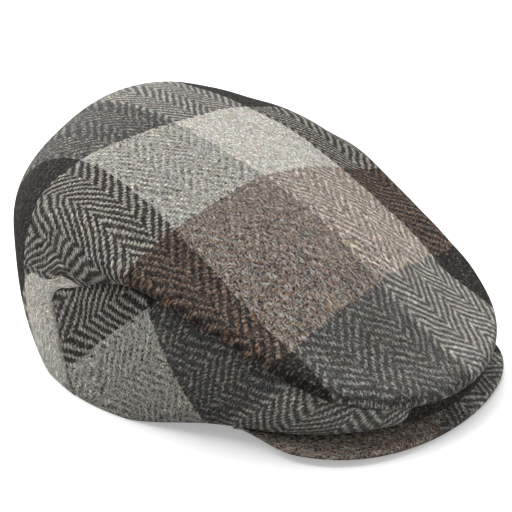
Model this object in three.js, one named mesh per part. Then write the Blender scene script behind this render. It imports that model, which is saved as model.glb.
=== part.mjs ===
// A soft tweed flat cap at rest on its rim and peak: millimetres, +Z up, the peak towards -Y.
// The crown is one surface round the head's upright axis, cut along its seams into a long centre panel and
// two side wings. A stiff crescent peak lies under the front of the crown.
import * as THREE from 'three';

const { degToRad, euclideanModulo, lerp, radToDeg, smoothstep } = THREE.MathUtils;

// Cloth and seams
const CLOTH = 2.4; // thickness of the padded cloth walls
const GAP = 0.3; // clear gap between two pieces

// Crown: a row every 30 degrees from the front (0) past the side (90) to the back (180), alike on both sides.
// The foot is the lower edge and the full line is where the wall turns over into the roof.
const ROW_STEP = 30;
const SECTIONS = [
  { footR: 122, footZ: 9, fullR: 126, fullZ: 16 },
  { footR: 110, footZ: 8, fullR: 119, fullZ: 24 },
  { footR: 87, footZ: 6.5, fullR: 99, fullZ: 56 },
  { footR: 83, footZ: 0, fullR: 91, fullZ: 76 },
  { footR: 86, footZ: 0, fullR: 95, fullZ: 71 },
  { footR: 95, footZ: 0, fullR: 104, fullZ: 60 },
  { footR: 100, footZ: 0, fullR: 113, fullZ: 56 },
];
const WALL_SWEEP = degToRad(62); // how far the wall's profile turns between the full line and the foot
const RIDGE = { height: 124, y: 65, round: 36, frontSlope: 0.62, backSlope: 0.94 };
const CAMBER_RADIUS = 450; // the ridge seen from the front
const ROOF_POWER = { plan: 3.3, rise: 2.3 }; // higher is flatter in the middle and fuller at the edge
const SAGS = [{ x: 72, y: -40, reach: 42, depth: 7.5 }]; // where the soft crown has sunk as it lies

// Seam of a side wing. Levels count from 0 at the foot to 1 at the full line.
const SEAM = { level: 0.95, dipStart: 73, dipLevel: 0.8, cornerTurn: 6, cornerDrop: 0.09, backAngle: 113 };

// Peak: half a squared ellipse from corner to corner, lying under the foot of the crown
const PEAK = { half: 77.5, cornerY: -43.5, depth: 82.5, square: 0.5, thickness: 4.4, edgeThickness: 4 };
const PEAK_CORNER = { lift: 3.6, edgeThickness: 2.2 };
const PEAK_ROOT = { inset: 22, cornerInset: 1, rise: 3.5 }; // its reach behind the foot

// Facets
const STEPS = { seam: 34, corner: 5, back: 20, roof: 14, wall: 7, peak: 44, edge: 4 };

const COLOURS = { centre: 0x6b6257, side: 0x4c4a46, peak: 0x473d36 };

/** Smooth value of a column at an angle from the front, by a cubic through the four nearest rows. */
function column(name, angle) {
  const last = SECTIONS.length - 1;
  const turn = Math.abs(euclideanModulo(angle + Math.PI, 2 * Math.PI) - Math.PI);
  const place = radToDeg(turn) / ROW_STEP;
  const row = Math.min(Math.floor(place), last - 1);
  const at = (i) => SECTIONS[last - Math.abs(last - Math.abs(i))][name];
  const [a, b, c, d] = [at(row - 1), at(row), at(row + 1), at(row + 2)];
  const t = place - row;
  return b + 0.5 * t * (c - a + t * (2 * a - 5 * b + 4 * c - d + t * (3 * (b - c) + d - a)));
}

/** Height of the lower edge, which the surface below flattens. */
function footHeight(angle) {
  return Math.max(0, column('footZ', angle));
}

/** Height of the ridge sheet, which slopes steadily to the front, falls off at the back and bows across. */
function ridgeHeight(x, y) {
  const from = y - RIDGE.y;
  const slope = from > 0 ? RIDGE.backSlope : RIDGE.frontSlope;
  return RIDGE.height - slope * (Math.hypot(from, RIDGE.round) - RIDGE.round) - x * x / (2 * CAMBER_RADIUS);
}

/** Point of the crown at a level: 0 is the foot, 1 the full line and 2 the middle of the top. An inset of one
 * cloth thickness gives the inside, which keeps the foot's height, so that the rim is flat below. */
function crownPoint(angle, level, inset = 0) {
  const fullR = column('fullR', angle) - inset;
  const footR = column('footR', angle) - inset;
  const fullZ = column('fullZ', angle);
  const footZ = footHeight(angle);
  if (level <= 1) {
    const turn = (1 - level) * WALL_SWEEP;
    const radius = fullR - (fullR - footR) * (1 - Math.cos(turn)) / (1 - Math.cos(WALL_SWEEP));
    const z = fullZ - (fullZ - footZ) * Math.sin(turn) / Math.sin(WALL_SWEEP);
    return sunk(polar(angle, radius, z), (z - footZ) / (fullZ - footZ));
  }
  const share = Math.cos((level - 1) * Math.PI / 2);
  const point = polar(angle, fullR * share, fullZ);
  const rise = (1 - share ** ROOF_POWER.plan) ** (1 / ROOF_POWER.rise);
  point.z = lerp(fullZ, ridgeHeight(point.x, point.y) - inset, rise);
  return sunk(point, 1);
}

/** Point of the crown lowered by the sags, by a share that is full on the roof and nothing at the foot. */
function sunk(point, share) {
  for (const { x, y, reach, depth } of SAGS) {
    point.z -= share * depth * Math.exp(-((point.x - x) ** 2 + (point.y - y) ** 2) / reach ** 2);
  }
  return point;
}

function polar(angle, radius, z) {
  return new THREE.Vector3(-radius * Math.sin(angle), -radius * Math.cos(angle), z);
}

/** Place on a flat disc that maps the crown: its middle is the middle of the top, and its edge the foot. */
function discPlace(angle, level) {
  return new THREE.Vector2(Math.sin(angle), Math.cos(angle)).multiplyScalar(2 - level);
}

function placePoint(place, inset) {
  return crownPoint(Math.atan2(place.x, place.y), 2 - place.length(), inset);
}

/** Closed shell over grids of disc places. Rows follow each other clockwise, and each runs inwards. */
function clothShell(grids) {
  const places = [];
  const known = new Map();
  const indexOf = (place) => {
    const key = place.toArray().map((v) => Math.round(v * 1e6)).join();
    if (!known.has(key)) {
      known.set(key, places.push(place) - 1);
    }
    return known.get(key);
  };
  const sheet = [];
  for (const grid of grids) {
    for (let r = 0; r < grid.length - 1; r += 1) {
      for (let c = 0; c < grid[r].length - 1; c += 1) {
        const [a, b, d, e] = [grid[r][c], grid[r][c + 1], grid[r + 1][c + 1], grid[r + 1][c]].map(indexOf);
        sheet.push([a, b, d], [a, d, e]);
      }
    }
  }
  const outer = sheet.filter(([a, b, c]) => a !== b && b !== c && c !== a);
  const inside = places.length;
  const faces = outer.flatMap(([a, b, c]) => [[a, b, c], [a + inside, c + inside, b + inside]]);
  const edges = outer.flatMap(([a, b, c]) => [[a, b], [b, c], [c, a]]);
  const taken = new Set(edges.map((edge) => edge.join()));
  for (const [a, b] of edges.filter((edge) => !taken.has(edge.toReversed().join()))) {
    faces.push([b, a, a + inside], [b, a + inside, b + inside]);
  }
  const points = [0, CLOTH].flatMap((inset) => places.map((place) => placePoint(place, inset)));
  return meshGeometry(points, faces);
}

function meshGeometry(points, faces) {
  const geometry = new THREE.BufferGeometry();
  geometry.setAttribute('position', new THREE.Float32BufferAttribute(points.flatMap((p) => p.toArray()), 3));
  geometry.setIndex(faces.flat());
  geometry.computeVertexNormals();
  return geometry;
}

/** Seam of the right wing, from the front to the top of its back seam, half a gap above or below the line. */
function seamLine(above) {
  const turnStart = SEAM.backAngle - SEAM.cornerTurn;
  const frontEnd = radToDeg(GAP / 2 / SECTIONS[0].footR);
  const backShift = above * radToDeg(GAP / 2 / SECTIONS[3].footR);
  const dip = (degrees) => smoothstep(degrees, SEAM.dipStart, SEAM.backAngle);
  const line = [];
  for (let i = 0; i <= STEPS.seam; i += 1) {
    const degrees = lerp(above > 0 ? 0 : frontEnd, turnStart, i / STEPS.seam);
    line.push({ degrees, level: lerp(SEAM.level, SEAM.dipLevel, dip(degrees)) });
  }
  for (let i = 1; i <= STEPS.corner; i += 1) {
    const turn = (i / STEPS.corner) * Math.PI / 2;
    const degrees = turnStart + (SEAM.cornerTurn + backShift) * Math.sin(turn);
    const level = lerp(SEAM.level, SEAM.dipLevel, dip(degrees)) - SEAM.cornerDrop * (1 - Math.cos(turn));
    line.push({ degrees, level });
  }
  return line.map(({ degrees, level }) => {
    const angle = degToRad(degrees);
    const wall = crownPoint(angle, 0).distanceTo(crownPoint(angle, 1));
    return { angle, level: level + above * GAP / 2 / wall };
  });
}

/** Row of places up the wall or roof at one angle. */
function levelRow(angle, from, to, steps) {
  return Array.from({ length: steps + 1 }, (_, i) => discPlace(angle, lerp(from, to, i / steps)));
}

/** Side wing: from the foot up to the seam, and from the middle of the front to the back seam. */
function sideWing() {
  return seamLine(-1).map(({ angle, level }) => levelRow(angle, 0, level, STEPS.wall));
}

function mirrored(grid) {
  return grid.map((row) => row.map((place) => new THREE.Vector2(-place.x, place.y))).reverse();
}

/** Centre panel: the roof inside the seam all round, and the wall at the back between the two back seams. */
function centrePanel() {
  const right = seamLine(1);
  const corner = right.at(-1);
  const across = Array.from({ length: STEPS.back + 1 }, (_, i) => ({
    angle: lerp(corner.angle, 2 * Math.PI - corner.angle, i / STEPS.back),
    level: corner.level,
  }));
  const half = right.map(({ angle, level }) => levelRow(angle, level, 2, STEPS.roof));
  const backRoof = across.map(({ angle, level }) => levelRow(angle, level, 2, STEPS.roof));
  const backWall = across.map(({ angle, level }) => levelRow(angle, 0, level, STEPS.wall));
  return [half, mirrored(half), backRoof, backWall];
}

/** Closed loft through rings of equal length, capped flat at both ends. */
function loft(rings) {
  const size = rings[0].length;
  const faces = [];
  for (let r = 0; r < rings.length - 1; r += 1) {
    for (let i = 0; i < size; i += 1) {
      const j = (i + 1) % size;
      const [a, b, c, d] = [r * size + i, r * size + j, (r + 1) * size + j, (r + 1) * size + i];
      faces.push([a, b, c], [a, c, d]);
    }
  }
  const end = (rings.length - 1) * size;
  for (let i = 1; i < size - 1; i += 1) {
    faces.push([0, i + 1, i], [end, end + i, end + i + 1]);
  }
  return meshGeometry(rings.flat(), faces);
}

/** Ring of the peak at a turn from -90 to 90 degrees: out over the top, round the edge and back below. */
function peakRing(turn) {
  const x = PEAK.half * Math.sin(turn);
  const y = PEAK.cornerY - PEAK.depth * Math.abs(Math.cos(turn)) ** PEAK.square;
  const angle = Math.atan2(-x, -y);
  const toCorner = Math.sin(turn) ** 2;
  const thickness = lerp(PEAK.edgeThickness, PEAK_CORNER.edgeThickness, toCorner);
  const edgeR = Math.hypot(x, y) - thickness / 2;
  const edgeZ = PEAK_CORNER.lift * toCorner + thickness / 2;
  const inset = lerp(PEAK_ROOT.inset, PEAK_ROOT.cornerInset, toCorner);
  const footR = column('footR', angle) - CLOTH - 2 * GAP;
  const footZ = footHeight(angle) - GAP;
  const rootZ = footZ + PEAK_ROOT.rise * (1 - toCorner);
  const depth = lerp(PEAK.thickness, PEAK_CORNER.edgeThickness, toCorner);
  const ring = [polar(angle, footR - inset, rootZ), polar(angle, footR, footZ)];
  for (let i = 0; i <= STEPS.edge; i += 1) {
    const round = Math.PI * (0.5 - i / STEPS.edge);
    ring.push(polar(angle, edgeR + Math.cos(round) * thickness / 2, edgeZ + Math.sin(round) * thickness / 2));
  }
  ring.push(polar(angle, footR, footZ - depth), polar(angle, footR - inset, rootZ - depth));
  return ring;
}

function peak() {
  const turns = Array.from({ length: STEPS.peak + 1 }, (_, i) => Math.PI * (i / STEPS.peak - 0.5));
  return loft(turns.map(peakRing));
}

function piece(name, geometry, color) {
  const cloth = new THREE.MeshStandardMaterial({ color, roughness: 1, metalness: 0 });
  const mesh = new THREE.Mesh(geometry, cloth);
  mesh.name = name;
  return mesh;
}

const wing = sideWing();
const cap = new THREE.Group();
cap.add(
  piece('centre_panel', clothShell(centrePanel()), COLOURS.centre),
  piece('side_panel_right', clothShell([wing]), COLOURS.side),
  piece('side_panel_left', clothShell([mirrored(wing)]), COLOURS.side),
  piece('peak', peak(), COLOURS.peak),
);

// The origin is the middle of the space that the cap takes on the surface it rests on.
const box = new THREE.Box3().setFromObject(cap);
cap.position.set(0, -(box.min.y + box.max.y) / 2, -box.min.z);

export default cap;
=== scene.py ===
"""A soft tweed flat cap at rest: a long centre panel, two side wings and a short stiff peak."""

import bpy
import numpy as np
from mathutils import Matrix, Vector


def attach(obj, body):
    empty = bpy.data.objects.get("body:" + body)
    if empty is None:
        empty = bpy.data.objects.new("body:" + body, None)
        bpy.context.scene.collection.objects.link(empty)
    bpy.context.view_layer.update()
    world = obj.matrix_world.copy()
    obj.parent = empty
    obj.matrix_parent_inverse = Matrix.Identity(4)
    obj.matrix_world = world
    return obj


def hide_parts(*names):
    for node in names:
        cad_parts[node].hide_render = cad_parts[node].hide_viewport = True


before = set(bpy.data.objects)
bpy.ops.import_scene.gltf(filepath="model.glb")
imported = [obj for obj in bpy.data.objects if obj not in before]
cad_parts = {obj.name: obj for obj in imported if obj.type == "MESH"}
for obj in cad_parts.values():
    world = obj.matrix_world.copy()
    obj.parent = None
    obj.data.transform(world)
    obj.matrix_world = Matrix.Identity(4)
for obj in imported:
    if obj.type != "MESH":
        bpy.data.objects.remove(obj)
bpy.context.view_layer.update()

# Centre panel
# One length of wool tweed that runs from the peak over the top of the head and down the back to the rim.
# It is cut with its warp from front to back, and is sewn to the two side wings along a rolled seam.

MM = 0.001  # sizes are in millimetres, and the frame is in metres
HEAD_Y = 6.5  # the head's upright axis stands this far behind the middle of the cap
CLOTH = 2.4  # thickness

# Each row is the crown's outline at one angle from the front (0) past the side (90) to the back (180).
CROWN_ROWS = np.array(
    [
        # foot radius, foot height, full radius, full height
        (122, 9, 126, 16),
        (110, 8, 119, 24),
        (87, 6.5, 99, 56),
        (83, 0, 91, 76),
        (86, 0, 95, 71),
        (95, 0, 104, 60),
        (100, 0, 113, 56),
    ],
    float,
)
FOOT_R, FOOT_Z, FULL_R, FULL_Z = range(4)
ROW_STEP = 30
WALL_SWEEP = np.radians(62)
RIDGE = {"height": 124, "y": 65, "round": 36, "front_slope": 0.62, "back_slope": 0.94, "camber": 450}
ROOF_POWER = {"plan": 3.3, "rise": 2.3}

# Where the soft crown has sunk as it lies: place from the head's axis, reach and depth
SAGS = np.array(
    [
        # x, y, reach, depth
        (72, -40, 42, 7.5),
    ],
    float,
)


def from_front(angle):
    """Degrees from the front, alike on both sides."""
    return np.abs(np.mod(np.degrees(angle) + 180, 360) - 180)


def crown_size(column, angle):
    """Smooth value of a column of the crown's rows at an angle: a cubic through the four nearest rows."""
    last = len(CROWN_ROWS) - 1
    place = from_front(angle) / ROW_STEP
    row = np.minimum(place.astype(int), last - 1)
    t = place - row
    a, b, c, d = (CROWN_ROWS[last - np.abs(last - np.abs(row + i)), column] for i in (-1, 0, 1, 2))
    return b + 0.5 * t * (c - a + t * (2 * a - 5 * b + 4 * c - d + t * (3 * (b - c) + d - a)))


def ridge_height(x, y):
    """Height of the sheet over the top: two slopes joined by a round ridge, bowed a little across."""
    past = y - RIDGE["y"]
    slope = np.where(past > 0, RIDGE["back_slope"], RIDGE["front_slope"])
    drop = slope * (np.hypot(past, RIDGE["round"]) - RIDGE["round"])
    return RIDGE["height"] - drop - x * x / (2 * RIDGE["camber"])


def crown_point(place):
    """Point of the crown at an angle round the head's axis and a level.

    The level is 0 at the foot, 1 at the full line and 2 on top. The wall is an arc from the foot up to the
    full line, and the roof rises from there to the ridge sheet.
    """
    angle, level = place[..., 0], place[..., 1]
    foot_r = crown_size(FOOT_R, angle)
    foot_z = np.maximum(crown_size(FOOT_Z, angle), 0)
    full_r = crown_size(FULL_R, angle)
    full_z = crown_size(FULL_Z, angle)
    turn = (1 - np.minimum(level, 1)) * WALL_SWEEP
    wall_r = full_r - (full_r - foot_r) * (1 - np.cos(turn)) / (1 - np.cos(WALL_SWEEP))
    wall_z = full_z - (full_z - foot_z) * np.sin(turn) / np.sin(WALL_SWEEP)
    share = np.cos((np.clip(level, 1, 2) - 1) * np.pi / 2)
    radius = np.where(level <= 1, wall_r, full_r * share)
    x, y = -radius * np.sin(angle), -radius * np.cos(angle)
    rise = np.maximum(1 - share ** ROOF_POWER["plan"], 0) ** (1 / ROOF_POWER["rise"])
    roof_z = full_z + (ridge_height(x, y) - full_z) * rise
    z = np.where(level <= 1, wall_z, roof_z)
    sag_x, sag_y, reach, depth = SAGS.T
    far = (x[..., None] - sag_x) ** 2 + (y[..., None] - sag_y) ** 2
    sunk = (depth * np.exp(-far / reach**2)).sum(-1)
    return np.stack([x, y, z - sunk * np.minimum((z - foot_z) / (full_z - foot_z), 1)], -1)


# Levels and degrees, from the front, of the seam between the centre panel and a wing
SEAM = {"level": 0.95, "dip_start": 73, "dip_level": 0.8, "back_angle": 113}
SEAM_CORNER = {"turn": 6, "drop": 0.09, "ramp": 6}


def ease(t):
    """Smooth step from 0 to 1."""
    t = np.clip(t, 0, 1)
    return t * t * (3 - 2 * t)


def seam_line(steps, corner_steps):
    """Places along the right wing's seam from the front to the top of the back seam.

    It runs level, then dips, then turns down round a small corner.
    """
    turn_start = SEAM["back_angle"] - SEAM_CORNER["turn"]
    turn = np.linspace(0, np.pi / 2, corner_steps + 1)[1:]
    run = np.linspace(0, turn_start, steps + 1)
    degrees = np.append(run, turn_start + SEAM_CORNER["turn"] * np.sin(turn))
    drop = np.append(np.zeros(steps + 1), SEAM_CORNER["drop"] * (1 - np.cos(turn)))
    dip = ease((degrees - SEAM["dip_start"]) / (SEAM["back_angle"] - SEAM["dip_start"]))
    return np.radians(degrees), SEAM["level"] + (SEAM["dip_level"] - SEAM["level"]) * dip - drop


def grid_quads(index, around=False):
    """Quads between neighbours in a grid of vertex numbers, which may close round its first axis."""
    first, after = (index, np.roll(index, -1, 0)) if around else (index[:-1], index[1:])
    return np.stack([first[:, :-1], first[:, 1:], after[:, 1:], after[:, :-1]], -1).reshape(-1, 4)


def split(quads):
    """Two triangles for each quad."""
    return np.concatenate([quads[:, [0, 1, 2]], quads[:, [0, 2, 3]]])


CORNER_WEIGHTS = (0.02, 20)  # least and most pull of a triangle's corner


def lay_flat(points, triangles, start, rounds):
    """Flat cut of a curved cloth, hardly stretched: in rounds, each triangle is turned to fit the rest."""
    a, b, c = (points[triangles[:, i]] for i in range(3))
    side = np.linalg.norm(b - a, axis=1)
    along = ((c - a) * (b - a)).sum(1) / side
    tall = np.sqrt(np.maximum(((c - a) ** 2).sum(1) - along**2, 1e-12))
    corner = np.zeros((len(triangles), 3, 2))
    corner[:, 1, 0] = side
    corner[:, 2] = np.stack([along, tall], -1)
    ends = [(1, 2), (2, 0), (0, 1)]
    spans = np.stack([corner[:, i] - corner[:, j] for i, j in ends], 1)
    legs = [corner - corner[:, k : k + 1] for k in range(3)]
    legs = [(legs[k][:, i] * legs[k][:, j]).sum(1) for k, (i, j) in enumerate(ends)]
    weight = np.clip(np.stack(legs, 1) / (side * tall)[:, None], *CORNER_WEIGHTS)
    stiff = np.zeros((len(points), len(points)))
    for k, (i, j) in enumerate(ends):
        for p, q in ((i, j), (j, i)):
            np.add.at(stiff, (triangles[:, p], triangles[:, q]), -weight[:, k])
            np.add.at(stiff, (triangles[:, p], triangles[:, p]), weight[:, k])
    stiff[0, 0] += 1
    solve = np.linalg.inv(stiff)
    flat = start.copy()
    for _ in range(rounds):
        laid = np.stack([flat[triangles[:, i]] - flat[triangles[:, j]] for i, j in ends], 1)
        fit = np.einsum("tk,tki,tkj->tij", weight, laid, spans)
        turn = np.arctan2(fit[:, 1, 0] - fit[:, 0, 1], fit[:, 0, 0] + fit[:, 1, 1])[:, None]
        turned_x = np.cos(turn) * spans[:, :, 0] - np.sin(turn) * spans[:, :, 1]
        turned_y = np.sin(turn) * spans[:, :, 0] + np.cos(turn) * spans[:, :, 1]
        turned = np.stack([turned_x, turned_y], -1) * weight[:, :, None]
        pull = np.zeros_like(flat)
        for k, (i, j) in enumerate(ends):
            np.add.at(pull, triangles[:, i], turned[:, k])
            np.add.at(pull, triangles[:, j], -turned[:, k])
        flat = solve @ pull
    return flat - flat[0]


def finer(grid, times, around=False):
    """A grid of values with each cell divided evenly, by straight lines between its corners."""
    share = (np.arange(times) / times)[None, :, None, None]
    for closed in (around, False):
        rows = np.concatenate([grid, grid[:1]]) if closed else grid
        steps = (rows[:-1, None] * (1 - share) + rows[1:, None] * share).reshape(-1, *rows.shape[1:])
        grid = (steps if closed else np.concatenate([steps, rows[-1:]])).swapaxes(0, 1)
    return grid


def surface_normals(points, quads):
    """Unit normal at each point: the mean of the normals of the quads round it."""
    face = np.cross(points[quads[:, 2]] - points[quads[:, 0]], points[quads[:, 3]] - points[quads[:, 1]])
    normal = np.zeros_like(points)
    for i in range(4):
        np.add.at(normal, quads[:, i], face)
    return normal / np.maximum(np.linalg.norm(normal, axis=1), 1e-9)[:, None]


def cloth_piece(name, points, faces, cloth):
    """Mesh of a piece from points in millimetres round the head's axis.

    Each point's place in the cloth, in metres, is its UV map.
    """
    mesh = bpy.data.meshes.new(name)
    mesh.from_pydata((points + np.array([0, HEAD_Y, 0])) * MM, [], faces)
    corners = np.empty(len(mesh.loops), np.int32)
    mesh.loops.foreach_get("vertex_index", corners)
    layer = mesh.uv_layers.new(name="cloth")
    layer.data.foreach_set("uv", (cloth[corners] * MM).ravel().astype(np.float32))
    mesh.polygons.foreach_set("use_smooth", np.ones(len(mesh.polygons), bool))
    mesh.update()
    piece = bpy.data.objects.new(name, mesh)
    bpy.context.scene.collection.objects.link(piece)
    return piece


def thicken(piece):
    """The cloth's thickness goes inwards from its outer face."""
    wall = piece.modifiers.new("thickness", "SOLIDIFY")
    wall.thickness = CLOTH * MM
    wall.offset = -1


# The cloth is pulled in at the stitches and puffed out beside them. Offsets are along the surface's normal.
ROLL = {"stitch": -3.0, "proud": 3.0, "crest": 6.0, "fade": 26.0, "wing": 10.0}
ROLL_ENDS = {
    # name: strength there, degrees where it starts to change, degrees that the change takes
    "front": (0.85, 10, 45),
    "back": (0.12, 86, 20),
}


def roll_strength(angle):
    """The roll is full at the sides, lower towards the front and nearly gone at the back seam."""
    front, front_start, front_ramp = ROLL_ENDS["front"]
    back, back_start, back_ramp = ROLL_ENDS["back"]
    degrees = from_front(angle)
    strength = front + (1 - front) * ease((degrees - front_start) / front_ramp)
    return strength + (back - 1) * ease((degrees - back_start) / back_ramp)


def seam_roll(away):
    """Offset at a distance from the seam: up from the stitches to the crest, then slowly down to 0."""
    rise = np.sin(np.clip(away / ROLL["crest"], 0, 1) * np.pi / 2)
    up = ROLL["stitch"] + (ROLL["proud"] - ROLL["stitch"]) * rise
    down = ROLL["proud"] * (1 - ease((away - ROLL["crest"]) / (ROLL["fade"] - ROLL["crest"])))
    return np.where(away < ROLL["crest"], up, down)


# Where the soft top has sunk or stands up a little: place from the head's axis, reach and depth
DENTS = np.array(
    [
        # x, y, reach, depth
        (-20, 98, 34, -4.0),
        (-62, 20, 26, 0.8),
        (-20, -30, 40, 0.6),
        (30, 20, 45, -1.0),
        (68, 52, 24, -1.8),
        (72, 6, 22, 2.8),
    ],
    float,
)
RIPPLE = {"across": 7.3, "bend": 11.0, "along": 8.9, "rise": 13.0, "height": 0.25}


def slack(points):
    """Height of the soft top's dents and swellings, each a bell over the plan, with slow ripples."""
    x, y, reach, depth = DENTS.T
    far = (points[:, :1] - x) ** 2 + (points[:, 1:2] - y) ** 2
    across = np.sin(points[:, 0] / RIPPLE["across"] + np.sin(points[:, 1] / RIPPLE["bend"]))
    along = np.sin(points[:, 1] / RIPPLE["along"] + points[:, 2] / RIPPLE["rise"])
    return (depth * np.exp(-far / reach**2)).sum(1) + RIPPLE["height"] * (across * along)


CENTRE_STEPS = {"seam": 40, "corner": 5, "back": 20, "roof": 20, "wall": 8}
RING_POWER = 1.4  # the roof's rings are closer towards its edge
FINER = 4  # how many times finer the mesh is than the flat cut's


def centre_places(times):
    """Places of the roof, from the middle of the top to its edge, and of the wall below it at the back."""
    steps = {name: count * times for name, count in CENTRE_STEPS.items()}
    right, level = seam_line(steps["seam"], steps["corner"])
    back = np.linspace(right[-1], 2 * np.pi - right[-1], steps["back"] + 1)
    angle = np.concatenate([right[:-1], back, 2 * np.pi - right[-2:0:-1]])
    edge = np.concatenate([level[:-1], np.full(len(back), level[-1]), level[-2:0:-1]])
    out = 1 - (1 - np.linspace(0, 1, steps["roof"] + 1)) ** RING_POWER
    down = np.linspace(1, 0, steps["wall"] + 1)
    roof = np.stack([angle[:, None] + 0 * out, 2 + (edge[:, None] - 2) * out], -1)
    wall = np.stack([back[:, None] + 0 * down, level[-1] * down + 0 * back[:, None]], -1)
    return roof, wall


def panel_list(roof, wall):
    """Values of the roof and the wall in the order of the vertices: the pole, the rings, then the wall."""
    size = roof.shape[-1]
    return np.concatenate([roof[0, :1], roof[:, 1:].reshape(-1, size), wall[:, 1:].reshape(-1, size)])


def panel_faces(roof, wall, times):
    """Faces of the panel: quads, and a fan of triangles round the pole."""
    around, out = roof.shape[0], roof.shape[1] - 1
    first = (CENTRE_STEPS["seam"] + CENTRE_STEPS["corner"]) * times
    ring = 1 + np.arange(around * out).reshape(around, out)
    below = 1 + around * out + np.arange(wall[:, 1:, 0].size).reshape(len(wall), -1)
    under = np.concatenate([ring[first : first + len(wall), -1:], below], 1)
    quads = np.concatenate([grid_quads(ring, around=True), grid_quads(under)])
    fan = np.stack([np.zeros(around, int), ring[:, 0], np.roll(ring[:, 0], -1)], -1)
    return quads[:, ::-1], fan[:, ::-1]


FLAT_START = 1.2  # the flat cut starts as the plan, spread by this
FLAT_ROUNDS = {"centre": 160, "wing": 300}

roof, wall = centre_places(1)
quads, fan = panel_faces(roof, wall, 1)
shape = crown_point(panel_list(roof, wall))
triangles = np.concatenate([split(quads), fan])
cut = lay_flat(shape, triangles, shape[:, :2] * FLAT_START, FLAT_ROUNDS["centre"])
rings = roof[:, 1:, 0].size
roof_cut = cut[1 : 1 + rings].reshape(len(roof), -1, 2)
roof_cut = np.concatenate([np.broadcast_to(cut[0], (len(roof), 1, 2)), roof_cut], 1)
back_start = CENTRE_STEPS["seam"] + CENTRE_STEPS["corner"]
wall_cut = cut[1 + rings :].reshape(len(wall), -1, 2)
wall_cut = np.concatenate([roof_cut[back_start : back_start + len(wall), -1:], wall_cut], 1)
cut = panel_list(finer(roof_cut, FINER, around=True), finer(wall_cut, FINER))

# How the cloth lies on the top against a straight cut: a row for each of three places from front to back
CHECK = 62.0
LAY_V = (-86.0, -24.0, 38.0)
LAY_REACH = {"across": (-80.0, 60.0), "along": (-86.0, 45.0)}  # past these the cloth moves as it does there
LAY = np.array(
    [
        # along the warp: shift, turn, bow; across it: shift, spread, bow
        (1, -3, -1, -8, 0, 7),
        (-7, 0, -1, -6, -4, 1),
        (30, 12, -21, 19, 28, -1),
    ],
    float,
)
# At the right back corner the cloth is drawn round, and it is tucked in at the top of the back seam.
DRAWN = {"start": 143.0, "most": 112.0, "inner": 20.0, "ramp": 60.0, "along": 0.85, "across": 0.35}
TUCK = {"place": (-106.0, 60.0), "reach": 20.0, "across": 12.0}


def cloth_lay(flat):
    """Place in the weave of a place in the flat cut, moved by a curve through the three rows of the lay.

    Past a slanting line at the right back corner the cloth is drawn round, more the further out it lies.
    """
    u = np.clip(flat[:, 0], *LAY_REACH["across"]) / CHECK
    v = np.clip(flat[:, 1], *LAY_REACH["along"])
    front, middle, back = LAY_V
    at_front = (v - middle) * (v - back) / ((front - middle) * (front - back))
    at_middle = (v - front) * (v - back) / ((middle - front) * (middle - back))
    lay = np.stack([at_front, at_middle, 1 - at_front - at_middle], -1) @ LAY
    along = lay[:, 0] + lay[:, 1] * u + lay[:, 2] * u * u
    across = lay[:, 3] + lay[:, 4] * u + lay[:, 5] * u * u
    out = -flat[:, 0]
    drawn = np.clip(flat[:, 1] + out - DRAWN["start"], 0, DRAWN["most"])
    drawn = drawn * ease((out - DRAWN["inner"]) / DRAWN["ramp"])
    along -= DRAWN["along"] * drawn
    across -= DRAWN["across"] * drawn
    across += TUCK["across"] * np.exp(-((flat - TUCK["place"]) ** 2).sum(1) / TUCK["reach"] ** 2)
    return flat + np.stack([across, along], -1)


roof, wall = centre_places(FINER)
quads, fan = panel_faces(roof, wall, FINER)
points = crown_point(panel_list(roof, wall))
normal = surface_normals(points, quads)
normal[0] = (0, 0, 1)  # the pole has no quads round it
rings = roof[:, 1:, 0].size
step = np.linalg.norm(np.diff(points[1 : 1 + rings].reshape(len(roof), -1, 3), axis=1), axis=2)
away = np.pad(np.cumsum(step[:, ::-1], 1)[:, ::-1], ((0, 0), (0, 1)))
sewn = 1 - ease((from_front(roof[:, 0, 0]) - SEAM["back_angle"]) / SEAM_CORNER["ramp"] + 0.5)
offset = slack(points)
offset[1 : 1 + rings] += (seam_roll(away) * (roll_strength(roof[:, 0, 0]) * sewn)[:, None]).ravel()
points = points + normal * offset[:, None]
centre_panel = cloth_piece("centre_panel_cloth", points, quads.tolist() + fan.tolist(), cloth_lay(cut))
thicken(centre_panel)


def feed(tree, socket, value):
    """An input gets a link from another node's output, or a value of its own."""
    if isinstance(value, bpy.types.NodeSocket):
        tree.links.new(value, socket)
    else:
        socket.default_value = value


def add_node(tree, kind, *values, **settings):
    """A node with its settings and, in order, its inputs' values or links. None leaves one as it is."""
    node = tree.nodes.new(kind)
    for name, value in settings.items():
        setattr(node, name, value)
    for socket, value in zip(node.inputs, values):
        if value is not None:
            feed(tree, socket, value)
    return node


def calc(tree, operation, *values):
    """Result of a Math node."""
    return add_node(tree, "ShaderNodeMath", *values, operation=operation).outputs[0]


def vector(tree, operation, *values):
    """Result of a Vector Math node."""
    return add_node(tree, "ShaderNodeVectorMath", *values, operation=operation).outputs[0]


def noise(tree, place, scale, detail=2.0):
    """Noise over a place: a number and a colour."""
    node = add_node(tree, "ShaderNodeTexNoise", place, None, scale, detail, noise_dimensions="3D")
    return node.outputs[0], node.outputs["Color"]


def choose(tree, share, low, high):
    """Number that goes from low to high with a share."""
    return calc(tree, "MULTIPLY_ADD", calc(tree, "SUBTRACT", high, low), share, low)


MIX_SHARE, MIX_LOW, MIX_HIGH, MIXED = 0, 6, 7, 2  # the sockets of a Mix node that mixes colours


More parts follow.
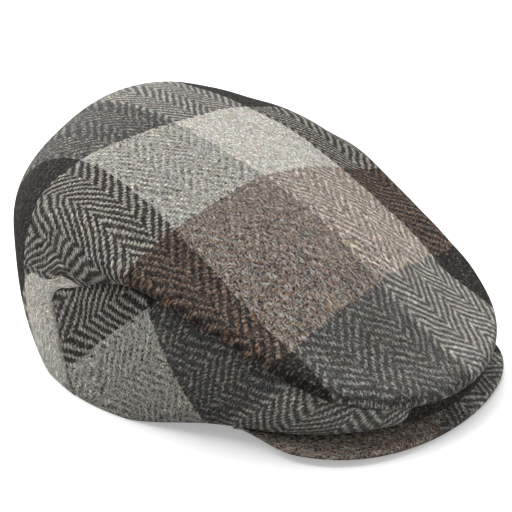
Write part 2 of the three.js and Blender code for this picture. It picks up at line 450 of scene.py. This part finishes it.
def tint(tree, kind, share, low, high):
    """Colour mixed from two by a share."""
    node = add_node(tree, "ShaderNodeMix", data_type="RGBA", blend_type=kind)
    feed(tree, node.inputs[MIX_SHARE], share)
    feed(tree, node.inputs[MIX_LOW], low)
    feed(tree, node.inputs[MIX_HIGH], high)
    return node.outputs[MIXED]


def bands(tree, place, colours):
    """Colour of even bands over a place from 0 to 1."""
    node = add_node(tree, "ShaderNodeValToRGB", place)
    node.color_ramp.interpolation = "CONSTANT"
    stops = node.color_ramp.elements
    for i, colour in enumerate(colours):
        stop = stops[i] if i < len(stops) else stops.new(1)
        stop.position = i / len(colours)
        stop.color = (*colour, 1)
    return node.outputs[0]


# Herringbone twill, two up and two down, whose slant turns after each band of ends
PITCH = 1.29  # from thread to thread
FLOAT = 2  # how many threads a thread passes over, and then under
BAND_ENDS = 12
ROUNDING = {"across": 0.6, "along": 0.4}  # powers of the sines that round a float; less is flatter
WARP = {"mid": (0.32, 0.314, 0.29), "light": (0.72, 0.693, 0.626), "dark": (0.014, 0.013, 0.013)}
WEFT = {"brown": (0.26, 0.187, 0.139), "cream": (0.665, 0.635, 0.56), "dark": (0.027, 0.026, 0.026)}
CHECK_START = (-66.0, -86.0)  # where the mid warp and the brown weft start

# Wool of several dyed colours is spun together: tufts of other colours, in millimetres and shares
TUFTS = {
    # name: colour, size, how common, strength, strength in the brown weft
    "rust": ((0.23, 0.11, 0.06), 2.4, 0.5, 0.08, 0.45),
    "soot": ((0.012, 0.012, 0.013), 1.5, 0.42, 0.3, 0.55),
    "oat": ((0.6, 0.54, 0.44), 1.3, 0.47, 0.17, 0.18),
}
TUFT_EDGE = 8.0  # how sharply a tuft ends
BROWN_ON_WARP = 0.5  # how far the brown weft's tufts reach over the warp on it

# The least share of a yarn's own colour, what a float's crest adds to it, and the warp's share in the nap
NAP = {"yarn": 0.15, "crest": 0.48, "warp": 0.6}

# Light and dark fibres along each thread: sizes, contrast in even and mixed wool, and the most they lighten
GRAIN = {"length": 1.6, "width": 0.5, "even": 3.8, "mixed": 12.0, "most": 1.5, "apart": 9.5}

# How far the threads stray from straight lines, slowly and in small kinks
WANDER = {
    # name: noise scale for each metre, noise detail, reach in millimetres
    "drift": (110.0, 2.0, 3.0),
    "kink": (700.0, 1.0, 1.8),
}

# How the wool's hue changes from place to place
HUES = {
    # name: noise scale for each metre, noise detail, range of red, green and blue, their least
    "fine": (600.0, 3.0, (0.5, 0.36, 0.5), (0.75, 0.82, 0.75)),
    "broad": (95.0, 2.0, (0.2, 0.08, 0.2), (0.9, 0.96, 0.9)),
}

# How each cause makes the cloth lighter or darker: the float's own tone, slubs and fibres, and painted
# shade away from each float's crest
SHADES = {
    # name: range of the factor, its least
    "float": (0.4, 0.8),
    "slub": (0.8, 0.6),
    "fibre": (0.8, 0.6),
    # painted shade: each float is darker towards its sides and ends, where the threads meet
    "crest": (0.5, 0.5),
}
SLUB = {"scale": 420.0, "detail": 3.0}
FIBRE = {"scale": 2200.0, "detail": 2.0}
FIBRE_HEIGHT = 0.5  # how far the fibres stand up, as a share of a float
RELIEF = 0.45  # how high the floats stand


def tweed_group():
    """Node group of the woven cloth: its colour and its height at a place in the cloth."""
    tree = bpy.data.node_groups.new("herringbone_tweed", "ShaderNodeTree")
    tree.interface.new_socket("Cloth", in_out="INPUT", socket_type="NodeSocketVector")
    tree.interface.new_socket("Colour", in_out="OUTPUT", socket_type="NodeSocketColor")
    tree.interface.new_socket("Height", in_out="OUTPUT", socket_type="NodeSocketFloat")
    cloth = tree.nodes.new("NodeGroupInput").outputs["Cloth"]

    # Threads wander a little from their straight lines.
    wander = cloth
    for scale, detail, reach in WANDER.values():
        _, shift = noise(tree, cloth, scale, detail)
        shift = vector(tree, "SUBTRACT", shift, (0.5, 0.5, 0.5))
        shift = vector(tree, "MULTIPLY", shift, (reach * MM, reach * MM, 0))
        wander = vector(tree, "ADD", wander, shift)
    u, v, _ = add_node(tree, "ShaderNodeSeparateXYZ", wander).outputs
    ends = calc(tree, "DIVIDE", u, PITCH * MM)
    picks = calc(tree, "DIVIDE", v, PITCH * MM)
    end, pick = calc(tree, "FLOOR", ends), calc(tree, "FLOOR", picks)
    in_end, in_pick = calc(tree, "SUBTRACT", ends, end), calc(tree, "SUBTRACT", picks, pick)

    # The warp is on top for two picks and below for two. The slant turns from band to band.
    band = calc(tree, "FLOOR", calc(tree, "DIVIDE", ends, BAND_ENDS))
    odd = calc(tree, "FLOORED_MODULO", band, 2.0)
    way = calc(tree, "MULTIPLY_ADD", odd, -2.0, 1.0)
    phase = calc(tree, "FLOORED_MODULO", calc(tree, "MULTIPLY_ADD", way, end, pick), 2 * FLOAT)
    warp_up = calc(tree, "LESS_THAN", phase, FLOAT - 0.5)
    past = calc(tree, "SUBTRACT", phase, FLOAT)
    across = choose(tree, warp_up, in_pick, in_end)
    along_warp = calc(tree, "ADD", phase, in_pick)
    turned = calc(tree, "MULTIPLY_ADD", calc(tree, "MULTIPLY_ADD", in_end, -2.0, 1.0), odd, in_end)
    along = choose(tree, warp_up, calc(tree, "ADD", past, turned), along_warp)
    round_across = calc(tree, "SINE", calc(tree, "MULTIPLY", across, np.pi))
    round_across = calc(tree, "POWER", round_across, ROUNDING["across"])
    round_along = calc(tree, "SINE", calc(tree, "MULTIPLY", along, np.pi / FLOAT))
    round_along = calc(tree, "POWER", round_along, ROUNDING["along"])
    height = calc(tree, "MULTIPLY", round_across, round_along)

    # The loose fibres on the face mix the two yarns, least on the crest of each float. The warp shows more.
    repeat = len(WARP) * CHECK / PITCH
    warp_place = calc(tree, "SUBTRACT", end, CHECK_START[0] / PITCH)
    weft_place = calc(tree, "SUBTRACT", pick, CHECK_START[1] / PITCH)
    warp_place = calc(tree, "FRACT", calc(tree, "DIVIDE", warp_place, repeat))
    weft_place = calc(tree, "FRACT", calc(tree, "DIVIDE", weft_place, repeat))
    warp = bands(tree, warp_place, WARP.values())
    weft = bands(tree, weft_place, WEFT.values())
    own = calc(tree, "MULTIPLY_ADD", height, NAP["crest"], NAP["yarn"])
    fibres = [
        add_node(tree, "ShaderNodeGamma", thread, share).outputs[0]
        for thread, share in ((weft, 1 - NAP["warp"]), (warp, NAP["warp"]))
    ]
    nap = tint(tree, "MULTIPLY", 1.0, *fibres)
    yarn = tint(tree, "MIX", own, nap, tint(tree, "MIX", warp_up, weft, warp))

    # Tufts of other colours show most in the brown weft.
    is_brown = calc(tree, "LESS_THAN", weft_place, 1 / len(WEFT))
    is_brown = calc(tree, "MULTIPLY", is_brown, choose(tree, warp_up, 1.0, BROWN_ON_WARP))
    for colour, size, common, strength, in_brown in TUFTS.values():
        patch, _ = noise(tree, cloth, 1 / (size * MM))
        patch = calc(tree, "MULTIPLY", calc(tree, "SUBTRACT", patch, 1 - common), TUFT_EDGE)
        patch = calc(tree, "MINIMUM", calc(tree, "MAXIMUM", patch, 0.0), 1.0)
        share = calc(tree, "MULTIPLY", patch, choose(tree, is_brown, strength, in_brown))
        yarn = tint(tree, "MIX", share, yarn, (*colour, 1))
    for scale, detail, spread, least in HUES.values():
        _, hue = noise(tree, cloth, scale, detail)
        yarn = tint(tree, "MULTIPLY", 1.0, yarn, vector(tree, "MULTIPLY_ADD", hue, spread, least))

    # Each float is a little lighter or darker than the next, and each yarn is uneven. Painted shade darkens
    # each float away from its crest, where the threads meet.
    first_end = choose(tree, warp_up, calc(tree, "SUBTRACT", end, calc(tree, "MULTIPLY", way, past)), end)
    first_pick = choose(tree, warp_up, pick, calc(tree, "SUBTRACT", pick, phase))
    float_place = add_node(tree, "ShaderNodeCombineXYZ", first_end, first_pick, warp_up).outputs[0]
    chance = add_node(tree, "ShaderNodeTexWhiteNoise", float_place, noise_dimensions="3D").outputs["Value"]
    slub, _ = noise(tree, cloth, SLUB["scale"], SLUB["detail"])
    fibre, _ = noise(tree, cloth, FIBRE["scale"], FIBRE["detail"])
    shade = 1.0
    for name, cause in (("float", chance), ("slub", slub), ("fibre", fibre), ("crest", height)):
        shade = calc(tree, "MULTIPLY", shade, calc(tree, "MULTIPLY_ADD", cause, *SHADES[name]))

    # Light and dark fibres run along each thread, most in the mid warp and the brown weft.
    is_mid = calc(tree, "MULTIPLY", calc(tree, "LESS_THAN", warp_place, 1 / len(WARP)), warp_up)
    fine, long = 1 / (GRAIN["width"] * MM), 1 / (GRAIN["length"] * MM)
    place_u = calc(tree, "MULTIPLY", u, choose(tree, warp_up, long, fine))
    place_v = calc(tree, "MULTIPLY", v, choose(tree, warp_up, fine, long))
    apart = calc(tree, "MULTIPLY", warp_up, GRAIN["apart"])
    strand = add_node(tree, "ShaderNodeCombineXYZ", place_u, place_v, apart).outputs[0]
    grain, _ = noise(tree, strand, 1.0)
    depth = choose(tree, calc(tree, "MAXIMUM", is_mid, is_brown), GRAIN["even"], GRAIN["mixed"])
    grain = calc(tree, "EXPONENT", calc(tree, "MULTIPLY", calc(tree, "SUBTRACT", grain, 0.5), depth))
    shade = calc(tree, "MULTIPLY", shade, calc(tree, "MINIMUM", grain, GRAIN["most"]))
    grey = add_node(tree, "ShaderNodeCombineColor", shade, shade, shade).outputs[0]
    colour = tint(tree, "MULTIPLY", 1.0, yarn, grey)
    out = tree.nodes.new("NodeGroupOutput")
    tree.links.new(colour, out.inputs["Colour"])
    tree.links.new(calc(tree, "MULTIPLY_ADD", fibre, FIBRE_HEIGHT, height), out.inputs["Height"])
    return tree


tweed = tweed_group()


def tweed_finish(name):
    """Material of the napped wool cloth: dull, with a faint bloom from loose fibres and raised threads."""
    material = bpy.data.materials.new(name)
    material.use_nodes = True
    tree = material.node_tree
    shader = tree.nodes["Principled BSDF"]
    shader.inputs["Roughness"].default_value = 0.92
    shader.inputs["Specular IOR Level"].default_value = 0.12
    shader.inputs["Sheen Weight"].default_value = 0.03
    shader.inputs["Sheen Roughness"].default_value = 0.6
    woven = add_node(tree, "ShaderNodeGroup")
    woven.node_tree = tweed
    tree.links.new(add_node(tree, "ShaderNodeUVMap", uv_map="cloth").outputs[0], woven.inputs["Cloth"])
    tree.links.new(woven.outputs["Colour"], shader.inputs["Base Color"])
    bump = tree.nodes.new("ShaderNodeBump")
    bump.inputs["Strength"].default_value = 0.7
    bump.inputs["Distance"].default_value = RELIEF * MM
    tree.links.new(woven.outputs["Height"], bump.inputs["Height"])
    tree.links.new(bump.outputs[0], shader.inputs["Normal"])
    return material


centre_panel.data.materials.append(tweed_finish("centre_tweed"))
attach(centre_panel, "root")
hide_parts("centre_panel")


# Side wings
# A narrow wing of the same tweed closes each side of the crown, from the front's middle to a back seam.
# Each is cut on the bias and sewn in under the rolled edge of the centre panel. Its foot leans inwards.

WING_STEPS = {"seam": 60, "corner": 5, "up": 12}
WING_FINER = 3

# How the threads run on the right wing, and where mid warp meets dark weft, from the back seam's foot
BIAS = {"warp": np.radians(37), "weft": np.radians(-73), "start": (57.5, 58.3)}

# The bias cloth is eased round the front, and a little towards the back seam.
WING_EASE = {"front": 0.85, "front_start": 10.0, "back": 0.5, "back_start": -5.0}
BACK_GROOVE = {"depth": -0.6, "reach": 2.0}


def wing_places(times):
    """Places of the right wing, each row from the foot up to the seam."""
    angle, level = seam_line(WING_STEPS["seam"] * times, WING_STEPS["corner"] * times)
    up = np.linspace(0, 1, WING_STEPS["up"] * times + 1)
    return np.stack([angle[:, None] + 0 * up, level[:, None] * up], -1)


def run_length(points, axis):
    """Length along each line of a grid of points, from its start."""
    step = np.linalg.norm(np.diff(points, axis=axis), axis=2)
    return np.cumsum(np.pad(step, [(int(axis == 0), 0), (int(axis == 1), 0)]), axis)


def numbers(grid):
    """Vertex numbers of a grid's points."""
    return np.arange(grid[..., 0].size).reshape(grid.shape[:2])


wing = crown_point(wing_places(1))
index = numbers(wing)
start = np.stack([-run_length(wing, 0)[:, :1] + 0 * wing[..., 0], run_length(wing, 1)], -1).reshape(-1, 2)
cut = lay_flat(wing.reshape(-1, 3), split(grid_quads(index)), start, FLAT_ROUNDS["wing"])
heel = cut[index[-1, 0]]
upright = cut[index[-1, -1]] - heel
upright = upright / np.linalg.norm(upright)
cut = (cut - heel) @ np.array([[upright[1], upright[0]], [-upright[0], upright[1]]])
basis = np.array([[np.cos(BIAS[name]), np.sin(BIAS[name])] for name in ("weft", "warp")])
wing_cloth = (cut - BIAS["start"]) @ np.linalg.inv(basis) + (CHECK_START[0], CHECK_START[1] + 2 * CHECK)
wing_cloth[:, 1] -= WING_EASE["front"] * np.maximum(wing_cloth[:, 0] - WING_EASE["front_start"], 0)
wing_cloth[:, 1] += WING_EASE["back"] * np.maximum(WING_EASE["back_start"] - wing_cloth[:, 1], 0)
wing_cloth = finer(wing_cloth.reshape(*index.shape, 2), WING_FINER)

place = wing_places(WING_FINER)
wing = crown_point(place)
index = numbers(wing)
normal = surface_normals(wing.reshape(-1, 3), grid_quads(index)).reshape(wing.shape)
below = run_length(wing[:, ::-1], 1)[:, ::-1]
behind = run_length(wing[::-1], 0)[::-1]
offset = ROLL["stitch"] * roll_strength(place[..., 0]) * (1 - ease(below / ROLL["wing"]))
offset += BACK_GROOVE["depth"] * np.exp(-((behind / BACK_GROOVE["reach"]) ** 2))
wing = wing + normal * offset[..., None]
side_tweed = tweed_finish("side_tweed")
for side, mirror in (("right", 1), ("left", -1)):
    points = wing.reshape(-1, 3) * (mirror, 1, 1)
    faces = grid_quads(index)[:, ::mirror].tolist()
    side_panel = cloth_piece(f"side_panel_{side}_cloth", points, faces, wing_cloth.reshape(-1, 2))
    thicken(side_panel)
    side_panel.data.materials.append(side_tweed)
    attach(side_panel, "root")
    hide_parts(f"side_panel_{side}")


# Peak
# A short stiff crescent covered in the same cloth, sewn in under the front of the crown.
# Its root reaches back inside the crown. Its round edge thins to both ends, which taper under the wings.

PEAK = {"half": 77.5, "corner_y": -43.5, "depth": 82.5, "square": 0.5, "thickness": 4.4, "edge": 4.0}
PEAK_CORNER = {"lift": 3.6, "edge": 1.2}
PEAK_TIP = {"trim": np.radians(1), "start": -85, "end": -54, "lift": 5.6, "proud": 1}
PEAK_ROOT = {"inset": 22, "corner_inset": 1, "rise": 3.5}
SEAM_GAP = 0.3
CREASE = 1.5  # the open gap between the crown's folded edge and the peak below it
PEAK_STEPS = {"along": 180, "out": 10, "edge": 10}
PEAK_CHECK = (-6, -118.5)  # where four blocks of the check meet on the peak
PEAK_TURN = np.radians(20)
PEAK_EASE = {"start": 30, "share": 0.35}  # the cloth is eased towards the root


def blend(a, b, share):
    """Value between two, by a share."""
    return a + (b - a) * share


def polar(angle, radius, z):
    """Point at an angle from the front, a radius from the head's axis and a height."""
    return np.stack([-radius * np.sin(angle), -radius * np.cos(angle), z + 0 * radius], -1)


def peak_rings():
    """Rings across the peak from corner to corner: out over the top, round the edge and back below.

    The edge is half a squared ellipse. Towards the corners the peak thins, lifts and hardly reaches in.
    The last stretch at each end tapers until it stands only a little proud of the crown's foot.
    """
    turn = np.linspace(-1, 1, PEAK_STEPS["along"] + 1)[:, None] * (np.pi / 2 - PEAK_TIP["trim"])
    x = PEAK["half"] * np.sin(turn)
    y = PEAK["corner_y"] - PEAK["depth"] * np.abs(np.cos(turn)) ** PEAK["square"]
    angle = np.arctan2(-x, -y)
    to_corner = np.sin(turn) ** 2
    edge = blend(PEAK["edge"], PEAK_CORNER["edge"], to_corner)
    foot_r = crown_size(FOOT_R, angle) - CLOTH - 2 * SEAM_GAP
    tip = ease((y - PEAK_TIP["start"]) / (PEAK_TIP["end"] - PEAK_TIP["start"]))
    edge_r = blend(np.hypot(x, y) - edge / 2, foot_r + PEAK_TIP["proud"], tip)
    edge_z = blend(PEAK_CORNER["lift"] * to_corner, PEAK_TIP["lift"], tip) + edge / 2
    inset = blend(PEAK_ROOT["inset"], PEAK_ROOT["corner_inset"], to_corner)
    foot_z = np.maximum(crown_size(FOOT_Z, angle), 0) - CREASE
    root_z = foot_z + PEAK_ROOT["rise"] * (1 - to_corner)
    depth = blend(PEAK["thickness"], PEAK_CORNER["edge"], to_corner)
    out = np.linspace(0, 1, PEAK_STEPS["out"] + 1)
    top_z = blend(foot_z, edge_z + edge / 2, out)
    low_z = blend(foot_z - depth, edge_z - edge / 2, out)
    radius = blend(foot_r, edge_r, out)
    round_off = np.pi * (0.5 - np.linspace(0, 1, PEAK_STEPS["edge"] + 1)[1:-1])
    return np.concatenate(
        [
            polar(angle, foot_r - inset, root_z),
            polar(angle, radius, top_z),
            polar(angle, edge_r + np.cos(round_off) * edge / 2, edge_z + np.sin(round_off) * edge / 2),
            polar(angle, radius, low_z)[:, ::-1],
            polar(angle, foot_r - inset, root_z - depth),
        ],
        1,
    )


rings = peak_rings()
index = numbers(rings)
closed = np.concatenate([index, index[:, :1]], 1)
faces = grid_quads(closed)[:, ::-1].tolist() + [index[0].tolist(), index[-1, ::-1].tolist()]
start = rings[:, :1, :2]
outward = start / np.linalg.norm(start, axis=2, keepdims=True)
plan = (start + outward * run_length(rings, 1)[..., None]).reshape(-1, 2) - PEAK_CHECK
turn = np.array([[np.cos(PEAK_TURN), -np.sin(PEAK_TURN)], [np.sin(PEAK_TURN), np.cos(PEAK_TURN)]])
plan = plan @ turn
plan[:, 1] -= PEAK_EASE["share"] * np.maximum(plan[:, 1] - PEAK_EASE["start"], 0)
plan = plan + (CHECK_START[0] + CHECK, CHECK_START[1])
peak = cloth_piece("peak_cloth", rings.reshape(-1, 3), faces, plan)
peak.data.materials.append(tweed_finish("peak_tweed"))
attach(peak, "root")
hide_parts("peak")


# Studio
# A plain floor that looks pale but lights the cap's sides little, and soft light from all round and above.
# The camera looks from the wearer's front right.

FLOOR = {"half": 12.0, "z": -0.0004, "glow": 0.35}  # metres, and its own light
PALE = {"seen": (0.93, 0.93, 0.93, 1), "bounce": (0.42, 0.42, 0.42, 1)}
floor_mesh = bpy.data.meshes.new("floor")
corners = np.array([(-1, -1, 0), (1, -1, 0), (1, 1, 0), (-1, 1, 0)]) * FLOOR["half"]
floor_mesh.from_pydata(corners + (0, 0, FLOOR["z"]), [], [(0, 1, 2, 3)])
floor = bpy.data.objects.new("floor", floor_mesh)
bpy.context.scene.collection.objects.link(floor)
paper = bpy.data.materials.new("floor_paper")
paper.use_nodes = True
tree = paper.node_tree
shader = tree.nodes["Principled BSDF"]
seen = add_node(tree, "ShaderNodeLightPath").outputs["Is Camera Ray"]
tree.links.new(tint(tree, "MIX", seen, PALE["bounce"], PALE["seen"]), shader.inputs["Base Color"])
tree.links.new(calc(tree, "MULTIPLY", seen, FLOOR["glow"]), shader.inputs["Emission Strength"])
shader.inputs["Emission Color"].default_value = (1, 1, 1, 1)
shader.inputs["Roughness"].default_value = 1.0
shader.inputs["Specular IOR Level"].default_value = 0.0
floor_mesh.materials.append(paper)

SKY = {"colour": (1, 1, 1, 1), "strength": 0.36}
world = bpy.data.worlds.new("studio")
bpy.context.scene.world = world
world.use_nodes = True
world.node_tree.nodes["Background"].inputs["Color"].default_value = SKY["colour"]
world.node_tree.nodes["Background"].inputs["Strength"].default_value = SKY["strength"]

LIGHTS = {
    # name: direction it comes from, strength, spread in degrees
    "overhead": ((0.15, 0.75, 1.0), 4.5, 75),  # broad and soft, from above and behind
    "front": ((0.2, -1.0, 0.15), 0.7, 60),
}
for name, (source, strength, spread) in LIGHTS.items():
    lamp = bpy.data.lights.new(name, "SUN")
    lamp.energy = strength
    lamp.angle = np.radians(spread)
    light = bpy.data.objects.new(name, lamp)
    light.rotation_euler = Vector(source).to_track_quat("Z", "Y").to_euler()
    bpy.context.scene.collection.objects.link(light)

VIEW = {"azimuth": 54.4, "elevation": 23.0, "roll": 0.9, "distance": 795, "target": (0, -15, 40)}
LENS = {"focal_px": 1726, "middle_px": (260.9, 279.7), "frame_px": 512, "sensor": 36}
azimuth, elevation, roll = (np.radians(VIEW[name]) for name in ("azimuth", "elevation", "roll"))
right = np.array([np.cos(azimuth), -np.sin(azimuth), 0])
away = np.array([-np.sin(azimuth), -np.cos(azimuth), 0])
back = away * np.cos(elevation) + np.array([0, 0, np.sin(elevation)])
up = np.cross(back, right)
rolled_right = right * np.cos(roll) - up * np.sin(roll)
rolled_up = right * np.sin(roll) + up * np.cos(roll)
axes = np.stack([rolled_right, rolled_up, back], 1)
spot = (np.array(VIEW["target"]) + (0, HEAD_Y, 0) + VIEW["distance"] * back) * MM
lens = bpy.data.cameras.new("camera")
lens.sensor_width = LENS["sensor"]
lens.lens = LENS["focal_px"] / LENS["frame_px"] * LENS["sensor"]
lens.shift_x = 0.5 - LENS["middle_px"][0] / LENS["frame_px"]
lens.shift_y = LENS["middle_px"][1] / LENS["frame_px"] - 0.5
lens.clip_start = 0.01
camera = bpy.data.objects.new("camera", lens)
camera.matrix_world = Matrix(np.c_[np.r_[axes, [[0, 0, 0]]], [*spot, 1]].tolist())
bpy.context.scene.collection.objects.link(camera)
bpy.context.scene.camera = camera
bpy.context.scene.view_settings.view_transform = "Standard"
